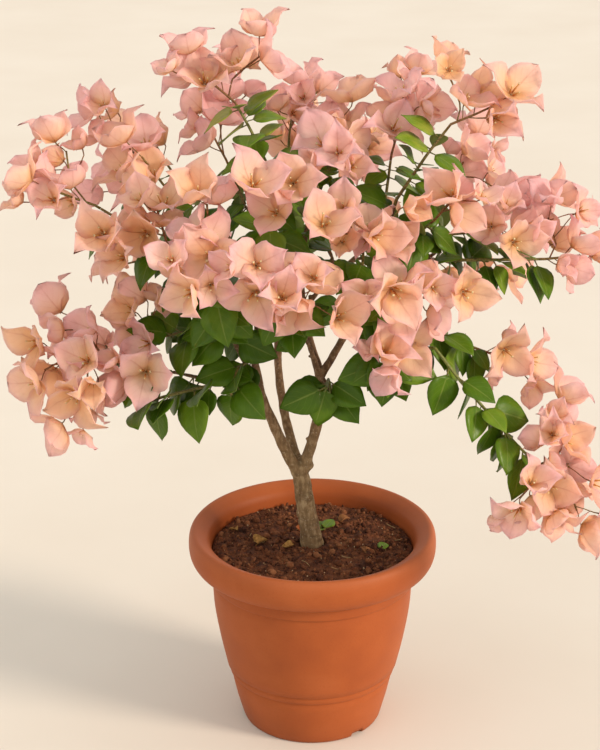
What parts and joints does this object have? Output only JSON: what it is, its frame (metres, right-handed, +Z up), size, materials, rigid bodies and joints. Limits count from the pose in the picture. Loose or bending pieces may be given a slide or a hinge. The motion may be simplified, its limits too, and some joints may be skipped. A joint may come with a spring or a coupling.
{
  "type": "potted bougainvillea",
  "caption": "Pot-grown flowering shrub: bent woody trunk in a round rolled-lip clay pot, under a wide canopy of broad leaves and papery bract clusters.",
  "frame": {"origin": "centre of the clay pot's flat underside", "axes": "+Z up along the pot's axis; -Y towards the side with the arching branch, the pictured side; +X to the right of that view"},
  "size_m": [0.7016, 0.5496, 0.8733],
  "materials": {
    "terracotta": "matt",
    "soil": "rough",
    "bark": "rough",
    "leaf": "semi-gloss",
    "bract": "matt"
  },
  "bodies": {
    "root": {"blooms_arch": "bract", "blooms_arch_mid": "bract", "blooms_back_left": "bract", "blooms_back_low_left": "bract", "blooms_back_low_right": "bract", "blooms_back_mid": "bract", "blooms_back_right": "bract", "blooms_centre": "bract", "blooms_centre_back": "bract", "blooms_crown_back": "bract", "blooms_crown_left": "bract", "blooms_crown_right": "bract", "blooms_front_left": "bract", "blooms_front_low": "bract", "blooms_front_mid": "bract", "blooms_front_right": "bract", "blooms_front_top": "bract", "blooms_left_high": "bract", "blooms_left_low": "bract", "blooms_left_mid": "bract", "blooms_left_tip": "bract", "blooms_left_under": "bract", "blooms_right_high": "bract", "blooms_right_mid": "bract", "blooms_right_tip": "bract", "blooms_top": "bract", "blooms_top_right": "bract", "leafy_arch": "leaf", "leafy_arch_mid": "leaf", "leafy_back_left": "leaf", "leafy_back_low_left": "leaf", "leafy_back_low_right": "leaf", "leafy_back_mid": "leaf", "leafy_back_right": "leaf", "leafy_centre": "leaf", "leafy_centre_back": "leaf", "leafy_crown_back": "leaf", "leafy_crown_left": "leaf", "leafy_crown_right": "leaf", "leafy_front_left": "leaf", "leafy_front_low": "leaf", "leafy_front_mid": "leaf", "leafy_front_right": "leaf", "leafy_front_top": "leaf", "leafy_left_high": "leaf", "leafy_left_low": "leaf", "leafy_left_mid": "leaf", "leafy_left_tip": "leaf", "leafy_left_under": "leaf", "leafy_right_high": "leaf", "leafy_right_mid": "leaf", "leafy_right_tip": "leaf", "leafy_top": "leaf", "leafy_top_right": "leaf", "leafy_under_centre": "leaf", "leafy_under_left": "leaf", "leafy_under_middle": "leaf", "pot": "terracotta", "soil": "soil", "trunk_and_branches": "bark"}
  },
  "joints": []
}
